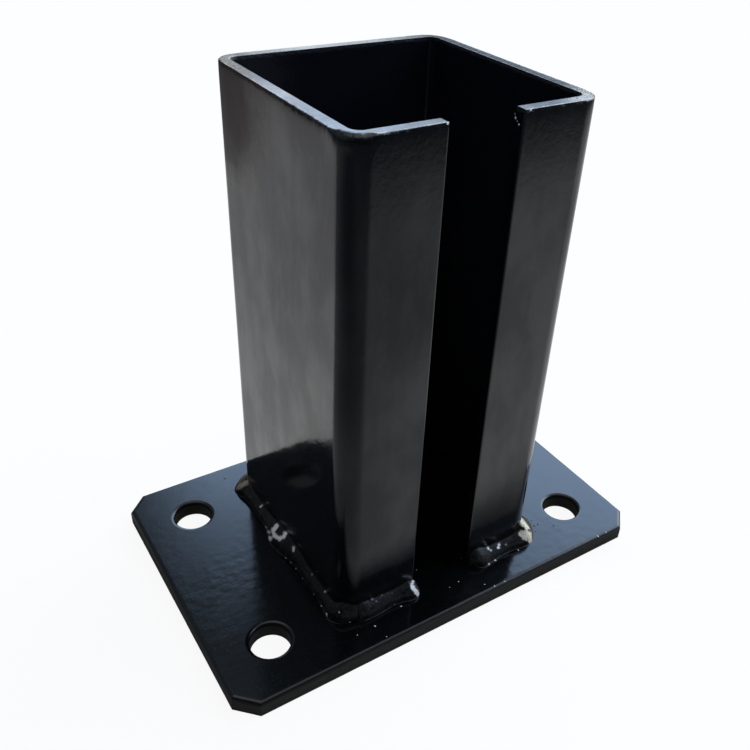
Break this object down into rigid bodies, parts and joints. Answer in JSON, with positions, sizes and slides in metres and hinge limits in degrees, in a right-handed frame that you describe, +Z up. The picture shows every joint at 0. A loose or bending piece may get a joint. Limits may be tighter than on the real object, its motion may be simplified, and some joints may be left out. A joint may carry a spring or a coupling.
{
  "type": "fence post base",
  "caption": "Bolt-down fence post base: a flat plate with corner anchor holes and a folded, slotted square sleeve welded upright on it to take a post.",
  "frame": {"origin": "middle of the plate's bottom face", "axes": "+Z up the sleeve, +X along the plate's long side, and the slot faces -Y"},
  "size_m": [0.16, 0.104, 0.165],
  "materials": {
    "black_paint": "gloss, with orange peel",
    "painted_weld": "gloss over rippled weld, chipped"
  },
  "bodies": {
    "root": {"base_plate": "black_paint", "post_channel": "black_paint", "weld_left_wall": "painted_weld", "weld_left_lip": "painted_weld", "weld_right_lip": "painted_weld", "weld_right_wall": "painted_weld", "weld_back_wall": "painted_weld"}
  },
  "joints": []
}
